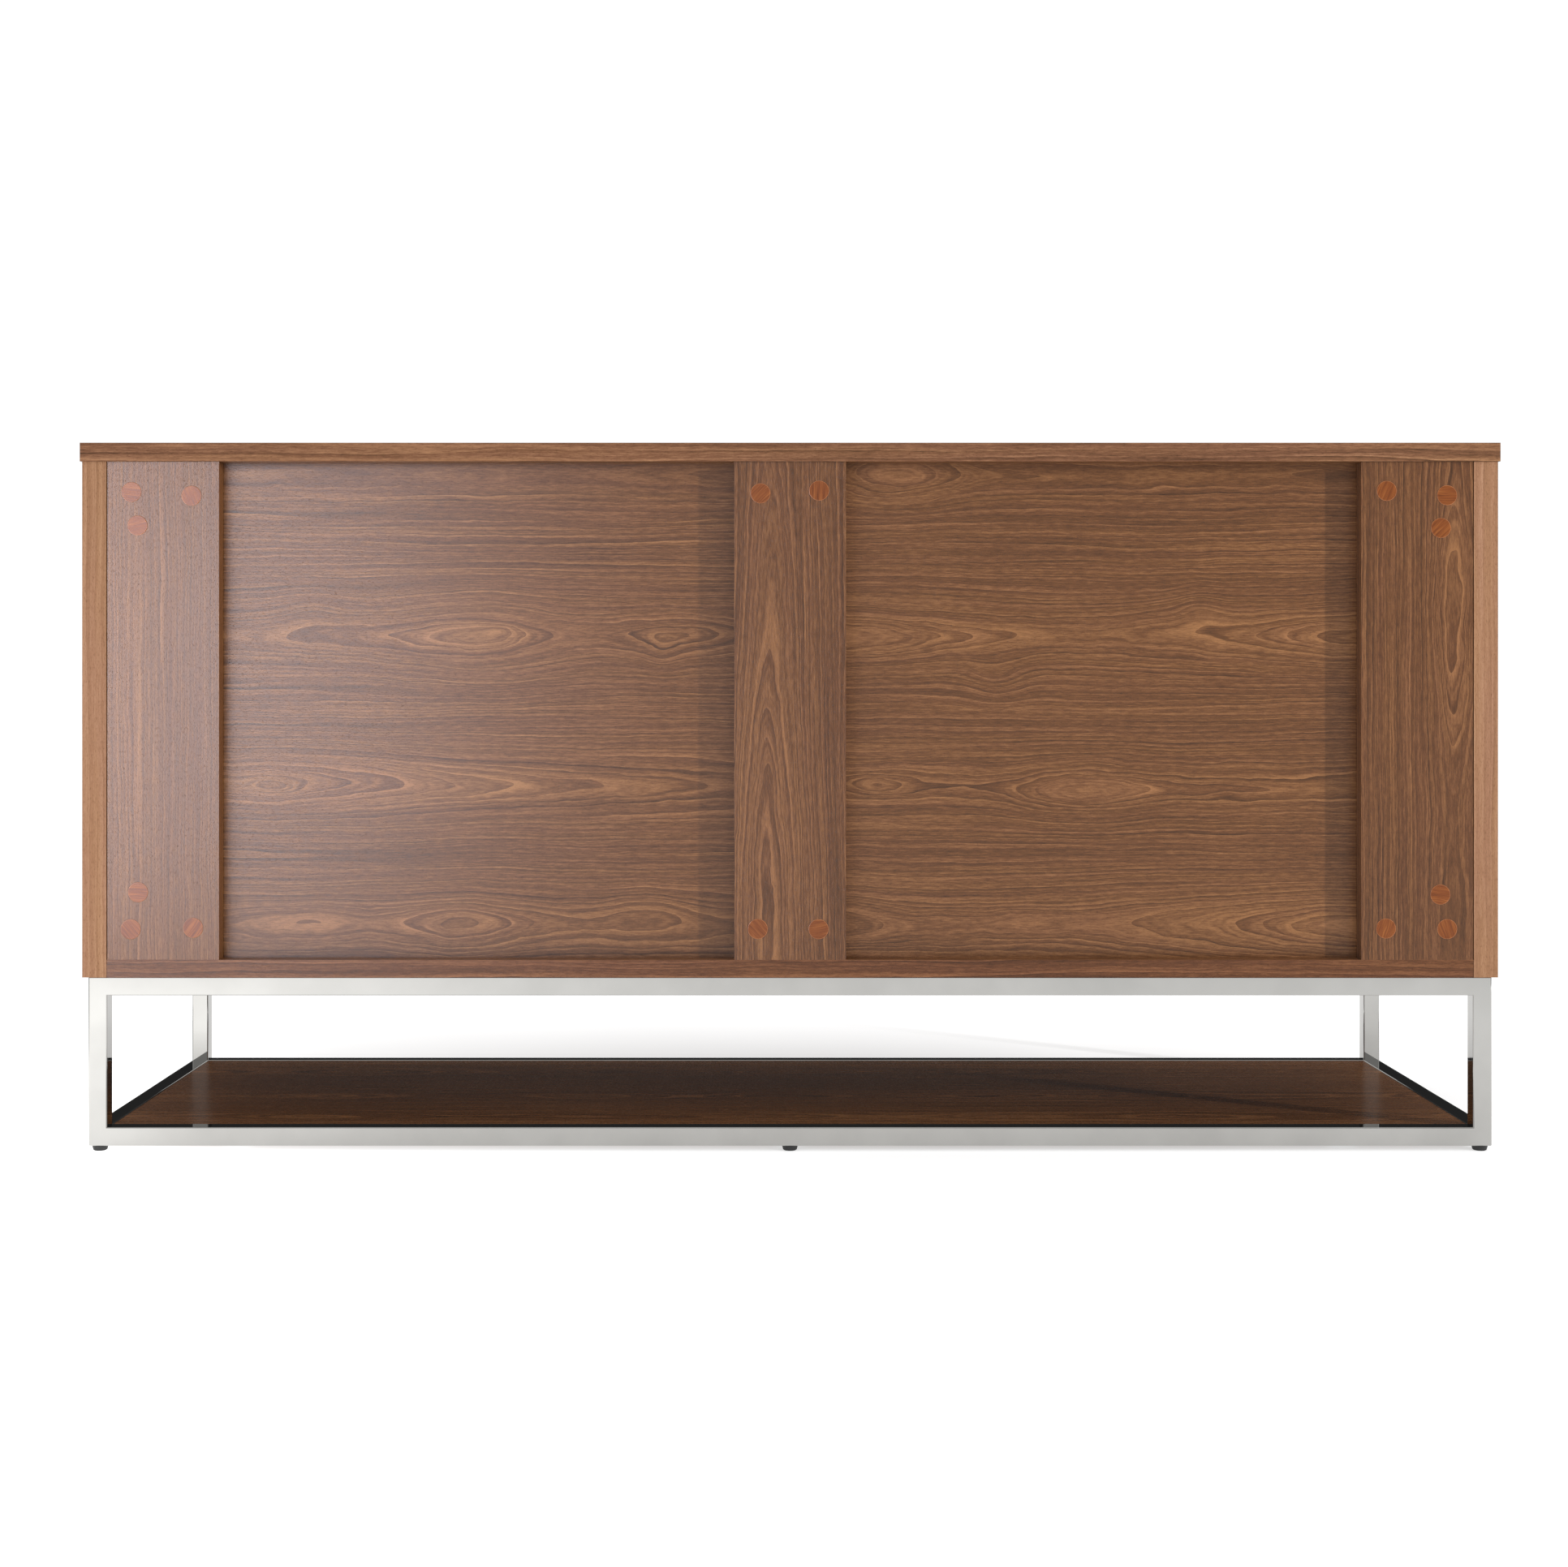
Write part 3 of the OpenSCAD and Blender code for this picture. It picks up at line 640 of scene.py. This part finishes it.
def dress_hardware():
    looks = {
        "zinc": cast_metal("zinc", (150, 152, 156), (190, 192, 196), 0.3),
        "brass": cast_metal("brass", (176, 140, 74), (205, 170, 98), 0.25),
        "beech": moulded_plastic("beech", (190, 150, 104), (214, 176, 130), 0.6),
        "latch_plastic": moulded_plastic("latch_plastic", (30, 30, 31), (44, 44, 45), 0.4),
        "plunger_plastic": moulded_plastic("plunger_plastic", (196, 196, 192), (216, 216, 212), 0.35),
        "glide_plastic": moulded_plastic("glide_plastic", (24, 24, 24), (36, 36, 36), 0.5),
        "cover": cherry_cover("cherry_cover", None),
        "polished_tube": polished_tube(),
    }
    for node, slot in hardware_slots().items():
        paint(node, looks[slot], slot)
    covers = rear_covers()
    # Lighter colours for the covers' bevelled rim: a painted highlight along each cover's edge.
    painted_rim_highlight_colours = ((126, 74, 40), (150, 92, 54), (172, 112, 70))
    covers.data.materials.append(cherry_cover("cherry_cover_turned", "turn"))
    covers.data.materials.append(cherry_cover("cherry_cover_painted_rim_highlight", "turn", painted_rim_highlight_colours))
    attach(covers, "carcass")
    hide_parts("rear_cam_covers")
    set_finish(covers, "cover")
    base = base_frame()
    base.data.materials.append(looks["polished_tube"])
    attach(base, "carcass")
    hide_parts(*TUBE_NODES)
    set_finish(base, "polished_tube")


# ---------------------------------------------------------------- stage, light and camera

def stage_floor():
    """A white floor that glows a little, so that shadows on it stay pale.

    It glows more at the +X side of the cabinet, a painted pool of light, and less beneath it and, far
    behind it, at the -X side, painted shade.
    """
    reach = 30
    corners = [(-reach, -reach, 0), (reach, -reach, 0), (reach, reach, 0), (-reach, reach, 0)]
    data = bpy.data.meshes.new("floor")
    data.from_pydata(corners, [], [(0, 1, 2, 3)])
    floor = bpy.data.objects.new("floor", data)
    bpy.context.scene.collection.objects.link(floor)
    look = Look("floor", roughness=0.8, specular_ior_level=0.2)
    speck = look.noise(look.x / 300, look.y / 300, detail=2)
    look.set("Base Color", look.ramp(speck, ((0.3, (0.59, 0.59, 0.59, 1)), (0.7, (0.61, 0.61, 0.61, 1)))))
    painted_light_pool = look.hill(look.x, look.y, 1400, 1100, 900, 1000)
    painted_light_spot = look.hill(look.x, look.y, 870, 150, 170, 380)
    painted_far_shade = look.hill(look.x, look.y, -1500, 2500, 1500, 900)
    shade = look.hill(look.x, look.y, 0, -200, 900, 400)
    # The glow paints pools of light beside the cabinet and painted shade beneath it and far behind it.
    glow = (painted_light_pool + painted_light_spot * 0.5) * 1.3 - painted_far_shade * 0.4 - shade * 0.3 + 0.62
    look.set("Emission Color", (1.0, 1.0, 1.0, 1.0))
    look.set("Emission Strength", glow)
    data.materials.append(look.material)


def studio_world():
    """White to the camera. To all else a grey dome, brightest overhead and dark low beyond the doors."""
    world = bpy.data.worlds.new("studio")
    bpy.context.scene.world = world
    world.use_nodes = True
    tree = world.node_tree
    tree.nodes.clear()
    coordinates = tree.nodes.new("ShaderNodeTexCoord")
    split = tree.nodes.new("ShaderNodeSeparateXYZ")
    tree.links.new(coordinates.outputs["Generated"], split.inputs[0])
    height = Value(tree, split.outputs[2]).math("MAXIMUM", 0.0)
    far_side = (Value(tree, split.outputs[1]) * -1.0).between(0.1, 0.5)
    low_down = (height * -1.0).between(-0.45, -0.25)
    open_sky = height * 1.15 + 0.42
    dimming = far_side * low_down * -0.95 + 1.0
    dome = tree.nodes.new("ShaderNodeBackground")
    plug(tree, open_sky * dimming, dome.inputs["Strength"])
    white = tree.nodes.new("ShaderNodeBackground")
    white.inputs["Strength"].default_value = 1.3
    path = tree.nodes.new("ShaderNodeLightPath")
    mix = tree.nodes.new("ShaderNodeMixShader")
    tree.links.new(path.outputs["Is Camera Ray"], mix.inputs[0])
    tree.links.new(dome.outputs[0], mix.inputs[1])
    tree.links.new(white.outputs[0], mix.inputs[2])
    output = tree.nodes.new("ShaderNodeOutputWorld")
    tree.links.new(mix.outputs[0], output.inputs[0])


def add_card(name, place, direction, radiance, width, height):
    """A glowing rectangle at a place, facing along a direction. radiance is its brightness, in W/m2/sr."""
    data = bpy.data.lights.new(name, "AREA")
    data.shape = "RECTANGLE"
    data.size = width
    data.size_y = height
    data.energy = radiance * width * height * math.pi
    lamp = bpy.data.objects.new(name, data)
    lamp.location = place
    lamp.rotation_euler = Vector(direction).to_track_quat("-Z", "Y").to_euler()
    bpy.context.scene.collection.objects.link(lamp)
    return lamp


GLARE_NODES = (
    "left_back_panel", "right_back_panel", "left_rear_strap", "centre_rear_strap", "right_rear_strap",
    "bottom_panel",
)


def studio_lights():
    """A tall narrow key light from -X, and at +X a card that only leaves a glare on the back."""
    key_at = Vector((-5.1, 2.87, 1.6))
    key_aim = Vector((0, 0.2, 0.45))
    key = add_card("key", key_at, key_aim - key_at, radiance=450.0, width=0.13, height=1.2)
    key.visible_glossy = False
    card_at = (0.92, 1.0, 0.56)
    card = add_card("side_card", card_at, (-0.81, -0.59, 0), radiance=8.5, width=1.2, height=0.88)
    card.data.color = (0.84, 0.98, 1.2)
    card.visible_diffuse = False
    card.visible_camera = False
    behind = bpy.data.collections.new("glare_behind")
    for name in GLARE_NODES:
        behind.objects.link(nodes[name])
    behind.objects.link(bpy.data.objects["rear_covers"])
    card.light_linking.receiver_collection = behind


def photo_camera():
    """Level behind the cabinet, looking along -Y, with the picture shifted to frame it."""
    data = bpy.data.cameras.new("camera")
    data.sensor_width = 36
    data.lens = 49.5
    data.shift_x = 0.0135
    data.shift_y = -0.0588
    data.clip_end = 100
    camera = bpy.data.objects.new("camera", data)
    camera.location = (29.3 * MM, 2541 * MM, 495.3 * MM)
    camera.rotation_euler = (math.radians(90), 0, math.radians(180))
    bpy.context.scene.collection.objects.link(camera)
    bpy.context.scene.camera = camera
    bpy.context.scene.view_settings.view_transform = "Standard"


dress_boards()
dress_hardware()
stage_floor()
studio_world()
studio_lights()
photo_camera()
